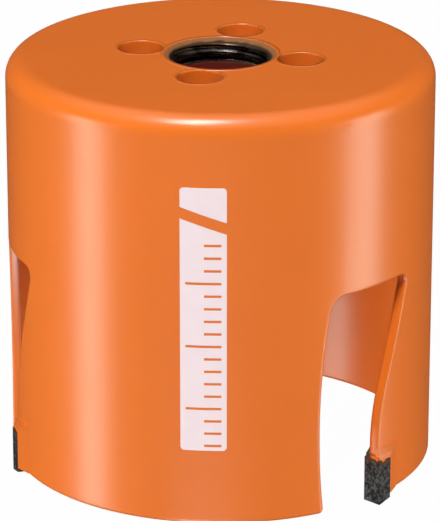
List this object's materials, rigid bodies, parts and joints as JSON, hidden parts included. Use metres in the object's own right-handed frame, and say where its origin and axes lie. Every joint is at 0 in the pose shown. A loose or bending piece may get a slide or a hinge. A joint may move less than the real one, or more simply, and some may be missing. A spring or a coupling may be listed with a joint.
{
  "type": "hole saw",
  "caption": "Deep cup-shaped hole saw with brazed carbide tips, tall slanted gullets, a threaded arbor hole and drive pin holes in its flat base.",
  "frame": {"origin": "on the turning axis, in the plane that the three cutting tips stand on", "axes": "+Z along the turning axis from the cutting tips to the arbor end; -Y is the side that carries the white print field"},
  "size_m": [0.0664, 0.0667, 0.0656],
  "materials": {
    "paint": "smooth semi-gloss orange enamel over steel",
    "carbide": "ground tungsten carbide, dark grey and mottled, with some enamel on its upper end",
    "painted_braze": "brazing filler under the same orange enamel",
    "thread_steel": "bare oiled steel of the thread's ridges, on the visual model only",
    "print_white": "flat white screen print, on the visual model only"
  },
  "bodies": {
    "root": {"cup_body": "paint", "carbide_tip_1": "carbide", "carbide_tip_2": "carbide", "carbide_tip_3": "carbide", "braze_seam_1": "painted_braze", "braze_seam_2": "painted_braze", "braze_seam_3": "painted_braze"}
  },
  "joints": []
}
